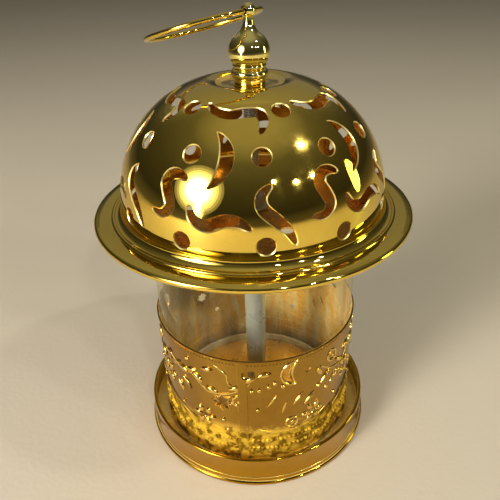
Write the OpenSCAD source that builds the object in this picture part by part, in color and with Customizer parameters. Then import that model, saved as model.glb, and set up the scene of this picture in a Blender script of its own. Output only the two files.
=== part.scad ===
// Gold Ramadan lantern: a pierced dome over a glass cylinder in a shallow tray,
// drawn together by one tie rod that ends in an onion finial with a hanging ring.
// Millimetres, +Z up, origin at the middle of the foot. The front looks along -Y.

/* [Tray] */
// Radius of the tray wall at its rim
tray_rim_r = 56.1; // [54:0.1:57]
// How much wider the wall is just above the foot bead
wall_spread = 0.3; // [0:0.05:0.5]
// How far the foot bead stands out past the wall
foot_reach = 1.1; // [0.8:0.1:1.5]
// Height of the tray
tray_h = 16.2; // [13:0.1:22]
// Thickness of the tray and plate sheet
sheet_t = 0.8; // [0.6:0.1:1.1]
// Height of the recess under the tray floor
tray_recess = 5.2; // [4.8:0.1:6]
// Radius of the rolled foot bead
foot_bead_r = 1.3; // [0.9:0.1:1.6]
// Radius of the rolled rim
rim_bead_r = 0.9; // [0.7:0.1:1.1]
// Height of the groove line pressed round the tray wall
wall_groove_z = 4.6; // [4:0.1:6]
// Radius of the groove line
wall_groove_r = 0.4; // [0.3:0.05:0.5]

/* [Glass] */
// Room round the glass cylinder, out to the tray's rim
tray_gap = 8.9; // [8.1:0.1:11]
// Wall of the glass
glass_wall = 2.5; // [2:0.1:3]
// Length of the glass
glass_h = 110; // [100:1:120]
// Thickness of the gaskets under and over the glass
gasket_t = 1.2; // [1:0.1:2]
// Width of a gasket's lip inside the glass
gasket_lip_w = 1.5; // [1:0.1:2]
// Height of that lip
gasket_lip_h = 3; // [2:0.5:5]

/* [Ornament band] */
// Height of the band round the glass
band_h = 62; // [56:1:66]
// Thickness of the band's sheet
band_t = 0.4; // [0.35:0.05:0.5]
// Radius of the rolled hem along both of its edges
band_hem_r = 0.6; // [0.5:0.05:0.7]
// Number of pattern repeats round the band
band_repeats = 3; // [2:1:3]
// Width of the overlapped seam
seam_w = 4; // [3:0.5:6]
// Turn of the seam from the first crescent of the dome
seam_turn = 3; // [-20:1:20]
// Heights of the two rows of beading above the band's foot
bead_row_low = 7.8; // [6:0.1:9]
// Spacing of the two rows
bead_row_gap = 5; // [4:0.1:6]
// Radius of the beading
bead_row_r = 0.8; // [0.6:0.05:0.9]
// Length from tip to tip of a pierced crescent of the band
band_crescent_chord = 10.5; // [8:0.5:12]
// Depth of its outer curve
band_crescent_outer = 5.6; // [4.5:0.1:7]
// Depth of its inner curve
band_crescent_inner = 2.6; // [2:0.1:4]
// Outer radius of a pierced star of the band
band_star_r = 3.9; // [3.5:0.1:4.2]
// Radius of a small star beside a crescent
small_star_r = 1.7; // [1.3:0.1:2.2]
// Radius of the round piercings of the band
band_hole_r = 1.3; // [1:0.1:1.8]
// Radius of a raised stud of the band
stud_r = 0.9; // [0.7:0.1:1.1]
// Height of the studs, leaves and scrolls over the band
relief = 0.6; // [0.55:0.05:0.7]
// Length of a leaf of the garland
leaf_len = 6.6; // [5.5:0.1:7]
// Width of that leaf
leaf_w = 2.6; // [2.2:0.1:3]
// Length of a slender leaf
blade_len = 8; // [6:0.5:9]
// Width of that leaf
blade_w = 1.3; // [1:0.1:1.6]
// Outer radius of a scroll
scroll_r = 3.4; // [3:0.1:3.6]
// Width of its line
scroll_w = 1; // [0.7:0.1:1.2]
// Number of petals round a rosette
petal_count = 6; // [5:1:7]
// Distance of the petals' middles from the rosette's
petal_ring_r = 3.9; // [3.7:0.1:4.2]
// Length of a petal
petal_len = 4.4; // [4:0.1:4.6]
// Width of a petal
petal_w = 2.8; // [2.4:0.1:3]

/* [Top plate] */
// Height of the plate's upturned rim
plate_rim_h = 4; // [3:0.5:6]
// Radius of the vent holes in the plate
vent_r = 3; // [2:0.5:4]
// Radius of the circle of vent holes
vent_circle_r = 28; // [24:1:34]
// Number of vent holes
vent_count = 6; // [4:1:8]

/* [Dome] */
// Radius of the brim, out to its rolled lip
brim_r = 70; // [69:0.1:71.5]
// Width of the brim, from the dome's wall out to the lip
brim_w = 12.7; // [12:0.1:13.5]
// Thickness of the dome's skin
skin_t = 0.7; // [0.5:0.1:0.9]
// Radius of the dome's curve from wall to crown
dome_arc_r = 48.5; // [47.5:0.1:50]
// Straight wall below that curve
wall_h = 6.6; // [6:0.1:9]
// Height of the brim's underside over the top plate
brim_rise = 1.6; // [1:0.1:2.5]
// Radius of the rolled lip
lip_r = 1.4; // [1.1:0.1:1.7]
// Radius of the cove between the wall and the brim
cove_r = 3.4; // [2.5:0.1:4]
// Radius of the bead round the brim
brim_bead_r = 0.9; // [0.7:0.1:1.1]
// Radius of the brim's gentle crown, seen in section
brim_arc_r = 11; // [10:0.5:14]
// Radius at which the crown turns over
crown_r = 20; // [18:0.5:22]
// Radius of that turn, and of the one into the dish
crown_turn_r = 10; // [8:0.5:11]
// Depth of the dish under the finial
dish_depth = 1.8; // [1:0.1:2.2]

/* [Piercings of the dome] */
// Number of pattern repeats round the dome
dome_repeats = 6; // [5:1:6]
// Azimuth of the first crescent, from +X
first_azimuth = -100.8; // [-120:0.1:-80]
// Radius of the round holes
hole_r = 4; // [3.2:0.1:4.3]
// Height of the lowest holes along the dome's skin
low_hole_h = 8.7; // [8:0.1:10]
// Height of the middle holes along the skin
mid_hole_h = 40.7; // [39:0.1:42]
// Height of the top holes along the skin
top_hole_h = 59.2; // [58:0.1:60]
// Height of the crescents' middle along the skin
crescent_h = 39.4; // [38.5:0.1:40.5]
// Length of a crescent from tip to tip
crescent_chord = 21.5; // [18:0.1:22.5]
// Depth of a crescent's outer curve
crescent_outer = 8.3; // [7:0.1:9]
// Depth of a crescent's inner curve
crescent_inner = 2.9; // [2:0.1:3.5]
// Width of the curls at their middle
curl_w = 5.2; // [4:0.1:5.6]
// Length of the long leaning curl
lean_curl_len = 22; // [19:0.5:23]
// Height of its middle along the skin
lean_curl_h = 19.2; // [18.5:0.1:20]
// Length of the hooked curl
hook_curl_len = 16; // [14:0.5:17]
// Height of its middle along the skin
hook_curl_h = 24.6; // [24:0.1:25.5]
// Length of the lying curl
lying_curl_len = 24; // [21:0.5:25]
// Height of its middle along the skin
lying_curl_h = 17.7; // [17:0.1:18.2]
// Length of the top curl
top_curl_len = 21; // [18:0.5:22]
// Height of its middle along the skin
top_curl_h = 58.7; // [58:0.1:59.5]

/* [Tie rod and fasteners] */
// Radius of the tie rod
rod_r = 3; // [2.5:0.1:3.2]
// How far the rod reaches into the finial's bulb
rod_reach = 5.8406; // [5:0.1:6.5]
// Height of the rod's lower end above the table
rod_z = 0.6; // [0.4:0.1:0.8]
// Outer radius of the silver sleeve tube
sleeve_r = 5.1; // [4.6:0.1:6]
// Wall of the sleeve tube
sleeve_wall = 0.9; // [0.7:0.1:1.2]
// Width across the flats of a nut
nut_flats = 10; // [9:0.5:11]
// Thickness of the nuts over the plate and under the dome
nut_t = 5; // [4:0.5:6]
// Thickness of the thin nut under the tray
thin_nut_t = 3; // [2.5:0.1:3.2]
// Outer radius of a washer
washer_r = 7.5; // [6.5:0.5:8.5]
// Thickness of a washer
washer_t = 1; // [0.8:0.1:1.2]
// Radius of the ferrules at the sleeve's ends
ferrule_r = 7; // [6.5:0.1:8]
// Thickness of the ferrules' flange
ferrule_t = 1.2; // [1:0.1:2]
// Height of the ferrules' collar round the sleeve
ferrule_h = 4; // [3:0.5:6]

/* [Finial] */
// Radius of the finial's foot
foot_r = 6.3; // [5.8:0.1:7]
// Height of the foot's straight part
foot_h = 2.2; // [1.5:0.1:3]
// Radius of the finial's bead, out to its edge
finial_bead_r = 7.6; // [7.2:0.1:8.2]
// Height of the bead
finial_bead_h = 3.8; // [3.4:0.1:4.4]
// Radius of the small bead between that one and the bulb
waist_r = 6.8; // [6.5:0.1:7]
// Height of the small bead
waist_h = 2; // [1.7:0.1:2.3]
// Radius of the bulb
bulb_r = 8.3; // [8:0.1:8.8]
// Height from the bulb's middle to the narrowest part of the neck
neck_rise = 12.2; // [11.5:0.1:13]
// Height of the bulb's middle above its foot
bulb_sink = 3.8; // [3.5:0.1:4.2]
// Radius of the turn from the bulb's widest part down to its foot
bulb_turn_r = 4.9; // [4.6:0.1:5.4]
// Radius of the neck
neck_r = 1.95; // [1.8:0.05:2.2]
// Height of the knob's middle above the narrowest part of the neck
knob_rise = 2.9; // [2.7:0.1:3.4]
// Radius of the knob
knob_r = 2.9; // [2.8:0.05:3.2]
// Height at which the bulb ends and the knob's neck begins, above the bulb's middle
split_rise = 8.6; // [8:0.1:9.4]
// Radius of the knob's stem inside the bulb
stem_r = 1.5; // [1.2:0.1:1.8]
// Depth of that stem
stem_len = 4; // [3:0.5:4]

/* [Ring] */
// Radius of the hanging ring, to the middle of its wire
ring_r = 24.1; // [22:0.1:25]
// Radius of its wire
wire_r = 1; // [0.8:0.05:1.05]
// Clearance of the wire in the knob's eye
eye_clear = 0.4; // [0.35:0.05:0.45]
// Turn of the knob's eye away from the line of sight
eye_turn = 38; // [0:1:60]
// Angle at which the ring droops
ring_droop = 16; // [5:1:35]

/* [Fits] */
// Gap where a curved part is held inside another
seat_gap = 0.3; // [0.2:0.05:0.4]
// Radial clearance of the finial on the rod
running_gap = 0.06; // [0.02:0.01:0.1]

/* [Hidden] */

// Smoothness of round faces
$fn = 96;
// Reach of a cut past the wall that it goes through
over = 4;
// Smallest overlap that joins two forms of one piece
joint_lap = 0.05;

// Radii that follow from the tray's rim and from the brim
tray_wall_r = tray_rim_r + wall_spread;
tray_foot_r = tray_wall_r + foot_reach;
glass_r = tray_rim_r - tray_gap;
dome_r = brim_r - brim_w;

// Heights of the stack on the rod
floor_z = tray_recess + sheet_t;
glass_z = floor_z + gasket_t;
plate_z = glass_z + glass_h + gasket_t;
plate_top_z = plate_z + sheet_t;
brim_under_z = plate_top_z + brim_rise;
brim_z = brim_under_z + skin_t;
spring_z = brim_z + wall_h;

// The dome's section: centre of its main arc and of the two arcs of the crown
arc_x = dome_r - dome_arc_r;
turn_angle = acos((crown_r - arc_x) / dome_arc_r);
turn_x = arc_x + (dome_arc_r - crown_turn_r) * cos(turn_angle);
turn_z = spring_z + (dome_arc_r - crown_turn_r) * sin(turn_angle);
seat_z = turn_z + crown_turn_r - dish_depth;
dish_z = seat_z + crown_turn_r;
dish_angle = acos((dish_z - turn_z) / (2 * crown_turn_r));
dish_x = turn_x - 2 * crown_turn_r * sin(dish_angle);

// The brim's section
lip_x = brim_r - lip_r;
lip_z = brim_z - lip_r;
cove_x = dome_r + cove_r;
bead_x = cove_x + brim_bead_r;

// The finial's heights
bead_z = seat_z + foot_h;
bulb_foot_z = bead_z + finial_bead_h + waist_h;
bulb_z = bulb_foot_z + bulb_sink;
neck_z = bulb_z + neck_rise;
knob_z = neck_z + knob_rise;
split_z = bulb_z + split_rise;
// Radius of the hollow curve from the bulb up to the neck, tangent to the bulb
ogee_r = (neck_r * neck_r + neck_rise * neck_rise - bulb_r * bulb_r) / (2 * (bulb_r - neck_r));
rod_len = bulb_foot_z + rod_reach - rod_z;
eye_r = wire_r + eye_clear;
bore_r = rod_r + running_gap;

glass_in_r = glass_r - glass_wall;
band_in_r = glass_r + seat_gap;
band_out_r = band_in_r + band_t;
band_z = glass_z;
plate_rim_r = dome_r - skin_t - seat_gap;

// Centre lines of the curls, as shares of each curl's length
lean_curl_shares = [[-0.05, 0.52], [-0.22, 0.36], [-0.21, 0.16], [0, -0.05], [0.18, -0.23], [0.31, -0.48]];
hook_curl_shares = [[0.45, 0.44], [0.24, 0.53], [0, 0.5], [-0.12, 0.28], [0, 0], [0.08, -0.27],
    [-0.13, -0.48], [-0.47, -0.45]];
lying_curl_shares = [[-0.5, 0.22], [-0.43, 0.02], [-0.22, -0.07], [0.07, 0.03], [0.28, 0.01], [0.45, -0.1]];
top_curl_shares = [[-0.5, 0.28], [-0.36, 0.08], [-0.1, -0.03], [0.18, 0.03], [0.4, 0.05], [0.51, -0.12],
    [0.48, -0.38]];
// Places of the motifs, as shares of one repeat
low_hole_shares = [0.25, 0.75];
mid_hole_shares = [0.25, 0.75];
top_hole_share = 0.5;
lean_curl_share = 0.32;
hook_curl_share = 0.64;
lying_curl_share = -0.015;
top_curl_share = 0.02;
// Places on the band: along one repeat, and up the band
star_shares = [0.928, 0.582];
crescent_shares = [0.232, 0.844];
small_star_shares = [0.325, 0.83];
slot_shares = [0.054, 0.874];
rosette_shares = [[0.832, 0.384], [0.36, 0.39], [0.59, 0.6]];
scroll_shares = [[0.007, 0.61], [0.47, 0.84], [0.25, 0.36]];
stud_shares = [[0.064, 0.72], [0.098, 0.723], [0.14, 0.755], [0.167, 0.78], [0.203, 0.74], [0.09, 0.53],
    [0.385, 0.63], [0.44, 0.56], [0.5, 0.44], [0.7, 0.4], [0.93, 0.4], [0.95, 0.31], [0.75, 0.88]];
// Leaves of the garland: along one repeat, up the band, and tilt as a share of a full turn
leaf_shares = [[0.673, 0.77, 0.1], [0.726, 0.76, -0.03], [0.768, 0.79, 0.06], [0.811, 0.745, -0.11],
    [0.882, 0.675, -0.06], [0.99, 0.735, 0.05], [1.057, 0.825, 0.09], [1.122, 0.87, 0.03],
    [0.39, 0.76, -0.16], [0.53, 0.74, -0.08], [0.6, 0.8, 0.04], [0.86, 0.86, 0.03], [0.69, 0.56, -0.16]];
blade_shares = [[0.153, 0.61, 0.16], [0.278, 0.585, 0.13], [0.338, 0.55, 0.12], [0.21, 0.53, 0.2],
    [0.43, 0.68, 0.12], [0.5, 0.62, 0.1], [0.74, 0.64, -0.13]];
// Inner corners of a star, as a share of its radius
star_waist_share = 0.48;
star_points = 8;
small_star_points = 5;
// Steps of the smoothed centre line between two given points
curl_steps = 3;
// How fast a curl swells from its tips
curl_taper = 0.5;

function circle_through(chord, depth) = (chord * chord / 4 + depth * depth) / (2 * depth);
function degrees_of(arc, radius) = arc / radius * 180 / PI;

// A point of the dome's outer skin, its height measured along the skin: radius, height, slope of the normal
function skin_point(h) =
    h < wall_h
    ? [dome_r, brim_z + h, 0]
    : let (a = degrees_of(h - wall_h, dome_arc_r))
        [arc_x + dome_arc_r * cos(a), spring_z + dome_arc_r * sin(a), a];

// A smooth curve through given points
function spline_at(p, i, t) =
    let (
        a = p[max(i - 1, 0)],
        b = p[i],
        c = p[i + 1],
        d = p[min(i + 2, len(p) - 1)]
    )
    (2 * b + (c - a) * t + (2 * a - 5 * b + 4 * c - d) * t * t + (3 * b - a - 3 * c + d) * t * t * t) / 2;
function smooth_line(p) = concat(
    [for (i = [0:len(p) - 2], k = [0:curl_steps - 1]) spline_at(p, i, k / curl_steps)],
    [p[len(p) - 1]]);
function side_of(line, i) =
    let (
        a = line[max(i - 1, 0)],
        b = line[min(i + 1, len(line) - 1)],
        d = (b - a) / norm(b - a)
    )
    [-d[1], d[0]];
function swell(i, last) = pow(sin(180 * i / last), curl_taper) * curl_w / 2;

// Outline of a curl that is widest in the middle and runs out to two tips
module curl_outline(shares, length) {
    line = smooth_line([for (s = shares) s * length]);
    last = len(line) - 1;
    polygon(concat(
        [for (i = [0:last]) line[i] + side_of(line, i) * swell(i, last)],
        [for (i = [last - 1:-1:1]) line[i] - side_of(line, i) * swell(i, last)]));
}

module crescent_outline(chord, outer, inner) {
    outer_r = circle_through(chord, outer);
    inner_r = circle_through(chord, inner);
    translate([outer / 2 - outer_r, 0]) difference() {
        circle(r = outer_r);
        translate([inner - outer - inner_r + outer_r, 0]) circle(r = inner_r);
    }
}

// A leaf pointed at both ends: what two equal circles share
module leaf_outline(length, width) {
    radius = circle_through(length, width / 2);
    intersection_for (side = [-1, 1]) translate([0, side * (radius - width / 2)]) circle(r = radius);
}

module star_outline(points, radius) {
    polygon([for (i = [0:2 * points - 1])
        let (r = i % 2 == 0 ? radius : radius * star_waist_share, a = 90 + i * 180 / points)
            [r * cos(a), r * sin(a)]]);
}

// A ring of the section between two angles round a centre: used for every curved stretch of the dome
module arc_strip(centre, r_out, r_in, a0, a1) {
    reach = 2 * r_out;
    middle = (a0 + a1) / 2;
    translate(centre) intersection() {
        difference() {
            circle(r = r_out);
            circle(r = r_in);
        }
        polygon([[0, 0], [reach * cos(a0), reach * sin(a0)], [reach * cos(middle), reach * sin(middle)],
            [reach * cos(a1), reach * sin(a1)]]);
    }
}

module strip(x0, x1, z0, z1) {
    translate([x0, z0]) square([x1 - x0, z1 - z0]);
}

// A flat outline set upright on the +X side of a round wall, facing outwards
module upright(depth) {
    rotate([90, 0, 90]) linear_extrude(height = depth) children();
}

module on_dome(share, h) {
    p = skin_point(h);
    rotate([0, 0, first_azimuth + share * 360 / dome_repeats])
        translate([p[0], 0, p[1]])
            rotate([0, -p[2], 0])
                translate([-over, 0, 0]) upright(2 * over) children();
}

module on_band(share, up) {
    rotate([0, 0, first_azimuth + share * 360 / band_repeats])
        translate([band_in_r - over, 0, band_z + up]) upright(2 * over) children();
}

module ring_of(count) {
    for (i = [0:count - 1]) rotate([0, 0, i * 360 / count]) children();
}

module dome_section() {
    difference() {
        union() {
            strip(dome_r - skin_t, dome_r, brim_z + cove_r, spring_z);
            arc_strip([arc_x, spring_z], dome_arc_r, dome_arc_r - skin_t, 0, turn_angle);
            arc_strip([turn_x, turn_z], crown_turn_r, crown_turn_r - skin_t, turn_angle, 90 + dish_angle);
            arc_strip([dish_x, dish_z], crown_turn_r + skin_t, crown_turn_r, dish_angle - 90, -90);
            strip(0, dish_x, seat_z - skin_t, seat_z);
            arc_strip([cove_x, brim_z + cove_r], cove_r + skin_t, cove_r, 180, 270);
            strip(cove_x, bead_x, brim_under_z, brim_z);
            translate([bead_x, brim_z]) circle(r = brim_bead_r);
            brim_crown();
            translate([lip_x, lip_z]) circle(r = lip_r);
        }
        strip(0, bore_r, seat_z - over, seat_z + over);
    }
}

// The gently arched stretch of the brim between its bead and its lip
module brim_crown() {
    middle = (bead_x + lip_x) / 2;
    half = asin((lip_x - bead_x) / 2 / brim_arc_r);
    arc_strip([middle, brim_z - brim_arc_r * cos(half)], brim_arc_r, brim_arc_r - skin_t, 90 - half, 90 + half);
}

module dome_piercings() {
    for (i = [0:dome_repeats - 1]) {
        for (s = low_hole_shares) on_dome(i + s, low_hole_h) circle(r = hole_r);
        for (s = mid_hole_shares) on_dome(i + s, mid_hole_h) circle(r = hole_r);
        on_dome(i + top_hole_share, top_hole_h) circle(r = hole_r);
        on_dome(i, crescent_h) crescent_outline(crescent_chord, crescent_outer, crescent_inner);
        on_dome(i + lean_curl_share, lean_curl_h) curl_outline(lean_curl_shares, lean_curl_len);
        on_dome(i + hook_curl_share, hook_curl_h) curl_outline(hook_curl_shares, hook_curl_len);
        on_dome(i + lying_curl_share, lying_curl_h) curl_outline(lying_curl_shares, lying_curl_len);
        on_dome(i + top_curl_share, top_curl_h) curl_outline(top_curl_shares, top_curl_len);
    }
}

module dome_shell() {
    color("gold") difference() {
        rotate_extrude() dome_section();
        dome_piercings();
    }
}

module base_tray() {
    bead_c = tray_foot_r - foot_bead_r;
    rim_z = tray_h - rim_bead_r;
    color("gold") rotate_extrude() difference() {
        union() {
            polygon([[tray_wall_r - sheet_t, foot_bead_r], [tray_wall_r, foot_bead_r],
                [tray_rim_r, rim_z], [tray_rim_r - sheet_t, rim_z]]);
            translate([bead_c, foot_bead_r]) circle(r = foot_bead_r);
            strip(bead_c - foot_bead_r, bead_c, 0, foot_bead_r);
            translate([tray_rim_r - rim_bead_r, rim_z]) circle(r = rim_bead_r);
            strip(0, tray_rim_r - sheet_t / 2, tray_recess, floor_z);
        }
        strip(0, rod_r + seat_gap, 0, tray_h);
        translate([tray_wall_r, wall_groove_z]) circle(r = wall_groove_r);
    }
}

// An L-shaped ring that the glass and the band stand on, with a lip inside the glass
module gasket(up) {
    lip_out = glass_in_r - seat_gap;
    lip_in = lip_out - gasket_lip_w;
    rotate_extrude() {
        strip(lip_in, band_out_r + band_hem_r, 0, gasket_t);
        strip(lip_in, lip_out, up ? 0 : -gasket_lip_h, up ? gasket_t + gasket_lip_h : gasket_t);
    }
}

module lower_gasket() {
    color("whitesmoke") translate([0, 0, floor_z]) gasket(true);
}

module upper_gasket() {
    color("whitesmoke") translate([0, 0, glass_z + glass_h]) gasket(false);
}

module glass_cylinder() {
    color("lightblue", 0.4) translate([0, 0, glass_z]) difference() {
        cylinder(r = glass_r, h = glass_h);
        translate([0, 0, -over]) cylinder(r = glass_in_r, h = glass_h + 2 * over);
    }
}

module band_section() {
    middle_r = band_in_r + band_hem_r;
    strip(band_in_r, band_out_r, 0, band_h);
    for (z = [band_hem_r, band_h - band_hem_r]) translate([middle_r, z]) circle(r = band_hem_r);
    for (z = [bead_row_low, bead_row_low + bead_row_gap]) intersection() {
        translate([band_out_r, z]) circle(r = bead_row_r);
        strip(band_in_r, band_out_r + bead_row_r, z - bead_row_r, z + bead_row_r);
    }
}

// A form of the band's relief, placed by its shares of the repeat and of the band's height
module raised(i, shares) {
    rotate([0, 0, first_azimuth + (i + shares[0]) * 360 / band_repeats])
        translate([band_in_r - over, 0, band_z + shares[1] * band_h]) upright(2 * over) children();
}

module band_relief(i) {
    for (s = stud_shares) raised(i, s) circle(r = stud_r);
    for (s = leaf_shares) raised(i, s) rotate(s[2] * 360) leaf_outline(leaf_len, leaf_w);
    for (s = blade_shares) raised(i, s) rotate(s[2] * 360) leaf_outline(blade_len, blade_w);
    for (s = scroll_shares) raised(i, s) difference() {
        circle(r = scroll_r);
        circle(r = scroll_r - scroll_w);
    }
    for (s = rosette_shares, k = [0:petal_count - 1])
        raised(i, s) rotate(k * 360 / petal_count) translate([petal_ring_r, 0]) leaf_outline(petal_len, petal_w);
}

// The overlapped joint where the rolled band closes
module seam() {
    intersection() {
        translate([0, 0, band_z + band_hem_r]) cylinder(r = band_out_r + band_t, h = band_h - 2 * band_hem_r);
        rotate([0, 0, first_azimuth + seam_turn]) translate([band_in_r - over, 0, band_z])
            upright(2 * over) translate([-seam_w / 2, 0]) square([seam_w, band_h]);
    }
}

module ornament_band() {
    color("goldenrod") difference() {
        union() {
            translate([0, 0, band_z]) rotate_extrude() band_section();
            seam();
            intersection() {
                translate([0, 0, band_z]) cylinder(r = band_out_r + relief, h = band_h);
                for (i = [0:band_repeats - 1]) band_relief(i);
            }
        }
        for (i = [0:band_repeats - 1]) band_piercings(i);
        translate([0, 0, glass_z - over]) cylinder(r = band_in_r, h = band_h + 2 * over);
    }
}

module band_piercings(i) {
    on_band(i + star_shares[0], star_shares[1] * band_h) star_outline(star_points, band_star_r);
    on_band(i + small_star_shares[0], small_star_shares[1] * band_h) star_outline(small_star_points, small_star_r);
    on_band(i + crescent_shares[0], crescent_shares[1] * band_h) mirror([1, 0])
        crescent_outline(band_crescent_chord, band_crescent_outer, band_crescent_inner);
    for (s = concat([slot_shares], rosette_shares)) on_band(i + s[0], s[1] * band_h) circle(r = band_hole_r);
}

module top_plate() {
    color("gold") difference() {
        translate([0, 0, plate_z]) rotate_extrude() {
            strip(0, plate_rim_r, 0, sheet_t);
            strip(plate_rim_r - sheet_t, plate_rim_r, 0, plate_rim_h);
        }
        translate([0, 0, plate_z - over]) cylinder(r = rod_r + seat_gap, h = sheet_t + 2 * over);
        ring_of(vent_count) translate([vent_circle_r, 0, plate_z - over])
            cylinder(r = vent_r, h = sheet_t + 2 * over);
    }
}

module tie_rod() {
    color("silver") translate([0, 0, rod_z]) cylinder(r = rod_r, h = rod_len);
}

module washer() {
    difference() {
        cylinder(r = washer_r, h = washer_t);
        translate([0, 0, -over]) cylinder(r = rod_r + seat_gap, h = washer_t + 2 * over);
    }
}

module nut(thickness) {
    difference() {
        cylinder(r = nut_flats / 2 / cos(30), h = thickness, $fn = 6);
        translate([0, 0, -over]) cylinder(r = bore_r, h = thickness + 2 * over);
    }
}

// A flanged collar that holds one end of the sleeve central
module ferrule() {
    collar_r = sleeve_r + sheet_t + seat_gap;
    difference() {
        union() {
            cylinder(r = ferrule_r, h = ferrule_t);
            cylinder(r = collar_r, h = ferrule_h);
        }
        translate([0, 0, -over]) cylinder(r = rod_r + seat_gap, h = ferrule_h + 2 * over);
        translate([0, 0, ferrule_t]) cylinder(r = sleeve_r + seat_gap, h = ferrule_h);
    }
}

module sleeve_tube() {
    length = plate_z - floor_z - 2 * ferrule_t;
    color("silver") translate([0, 0, floor_z + ferrule_t]) difference() {
        cylinder(r = sleeve_r, h = length);
        translate([0, 0, -over]) cylinder(r = sleeve_r - sleeve_wall, h = length + 2 * over);
    }
}

module lower_ferrule() {
    color("silver") translate([0, 0, floor_z]) ferrule();
}

module upper_ferrule() {
    color("silver") translate([0, 0, plate_z]) mirror([0, 0, 1]) ferrule();
}

module bottom_washer() {
    color("silver") translate([0, 0, tray_recess - washer_t]) washer();
}

module bottom_nut() {
    color("silver") translate([0, 0, tray_recess - washer_t - thin_nut_t]) nut(thin_nut_t);
}

module plate_washer() {
    color("silver") translate([0, 0, plate_top_z]) washer();
}

module plate_nut() {
    color("silver") translate([0, 0, plate_top_z + washer_t]) nut(nut_t);
}

module dome_washer() {
    color("silver") translate([0, 0, seat_z - skin_t - washer_t]) washer();
}

module dome_nut() {
    color("silver") translate([0, 0, seat_z - skin_t - washer_t - nut_t]) nut(nut_t);
}

module finial_collar() {
    bead_c = finial_bead_h / 2;
    color("gold") rotate_extrude() difference() {
        union() {
            strip(0, foot_r, seat_z, bead_z + bead_c);
            translate([finial_bead_r - bead_c, bead_z + bead_c]) circle(r = bead_c);
            strip(0, finial_bead_r - bead_c, bead_z, bead_z + finial_bead_h);
            translate([waist_r - waist_h / 2, bulb_foot_z - waist_h / 2]) circle(r = waist_h / 2);
            strip(0, waist_r - waist_h / 2, bead_z + bead_c, bulb_foot_z);
        }
        strip(0, bore_r, seat_z - over, bulb_foot_z + over);
    }
}

// Half of the onion outline from the bulb's foot to the neck
module onion_outline() {
    ogee_x = neck_r + ogee_r;
    shoulder_share = bulb_r / (bulb_r + ogee_r);
    turn_c = bulb_r - bulb_turn_r;
    difference() {
        union() {
            intersection() {
                translate([0, bulb_z]) circle(r = bulb_r);
                strip(0, bulb_r, bulb_z, bulb_z + neck_rise * shoulder_share);
            }
            strip(0, turn_c, bulb_foot_z, bulb_z + joint_lap);
            intersection() {
                translate([turn_c, bulb_z]) circle(r = bulb_turn_r);
                strip(turn_c, bulb_r, bulb_foot_z, bulb_z);
            }
            strip(0, ogee_x * shoulder_share, bulb_z + neck_rise * shoulder_share - joint_lap, neck_z);
        }
        translate([ogee_x, neck_z]) circle(r = ogee_r);
    }
}

module finial_bulb() {
    rod_top = rod_z + rod_len;
    color("gold") difference() {
        rotate_extrude() intersection() {
            onion_outline();
            strip(0, bulb_r, bulb_foot_z, split_z);
        }
        translate([0, 0, bulb_foot_z - over]) cylinder(r = bore_r, h = rod_top - bulb_foot_z + over + seat_gap);
        translate([0, 0, split_z - stem_len]) cylinder(r = stem_r + running_gap, h = stem_len + over);
    }
}

module finial_knob() {
    color("gold") difference() {
        union() {
            rotate_extrude() intersection() {
                onion_outline();
                strip(0, bulb_r, split_z, neck_z);
            }
            translate([0, 0, neck_z - joint_lap]) cylinder(r = neck_r, h = knob_rise);
            translate([0, 0, knob_z]) sphere(r = knob_r);
            translate([0, 0, split_z - stem_len + seat_gap]) cylinder(r = stem_r, h = stem_len);
        }
        translate([0, 0, knob_z]) rotate([0, 0, -eye_turn]) rotate([90, 0, 0])
            cylinder(r = eye_r, h = 2 * (knob_r + over), center = true);
    }
}

module hanging_ring() {
    color("gold") translate([0, 0, knob_z]) rotate([0, 0, -eye_turn]) rotate([0, -ring_droop, 0])
        translate([-ring_r, 0, 0]) rotate_extrude() translate([ring_r, 0]) circle(r = wire_r);
}

base_tray();
lower_gasket();
glass_cylinder();
ornament_band();
upper_gasket();
top_plate();
dome_shell();
tie_rod();
sleeve_tube();
lower_ferrule();
upper_ferrule();
bottom_washer();
bottom_nut();
plate_washer();
plate_nut();
dome_washer();
dome_nut();
finial_collar();
finial_bulb();
finial_knob();
hanging_ring();
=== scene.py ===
import math

import bmesh
import bpy
from mathutils import Matrix, Vector
from mathutils.bvhtree import BVHTree


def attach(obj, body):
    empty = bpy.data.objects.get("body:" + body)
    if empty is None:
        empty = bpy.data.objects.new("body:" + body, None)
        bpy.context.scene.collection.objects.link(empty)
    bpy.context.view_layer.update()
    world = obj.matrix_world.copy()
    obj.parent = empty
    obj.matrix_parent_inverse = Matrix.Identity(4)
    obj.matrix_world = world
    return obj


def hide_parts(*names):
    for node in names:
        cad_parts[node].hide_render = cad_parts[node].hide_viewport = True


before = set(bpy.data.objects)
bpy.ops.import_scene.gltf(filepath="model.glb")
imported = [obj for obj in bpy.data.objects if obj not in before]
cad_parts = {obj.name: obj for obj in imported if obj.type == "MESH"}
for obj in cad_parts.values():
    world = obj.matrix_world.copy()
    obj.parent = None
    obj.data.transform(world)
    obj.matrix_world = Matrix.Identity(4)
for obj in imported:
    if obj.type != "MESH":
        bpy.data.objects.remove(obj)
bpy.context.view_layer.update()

# Lengths are in millimetres, as in the part's source, and a finished piece is scaled to metres
MM = 0.001
# Distance under which two points are one
WELD = 0.0005
# Steps of a full turn for the large and the small turned pieces
WIDE_TURN = 240
FINE_TURN = 96
# Edges sharper than this, in degrees, stay crisp
CRISP = 32

# Tray
TRAY_FOOT_R = 57.5
TRAY_WALL_R = 56.4
TRAY_RIM_R = 56.1
TRAY_H = 16.2
SHEET_T = 0.8
TRAY_RECESS = 5.2
TRAY_CORNER_R = 1.2
FOOT_BEAD_R = 1.3
RIM_BEAD_R = 0.9
WALL_GROOVE_Z = 4.6
WALL_GROOVE_R = 0.4

# Glass and gaskets
GLASS_R = 47.2
GLASS_WALL = 2.5
GLASS_H = 110
GASKET_T = 1.2
GASKET_LIP_W = 1.5
GASKET_LIP_H = 3

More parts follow.
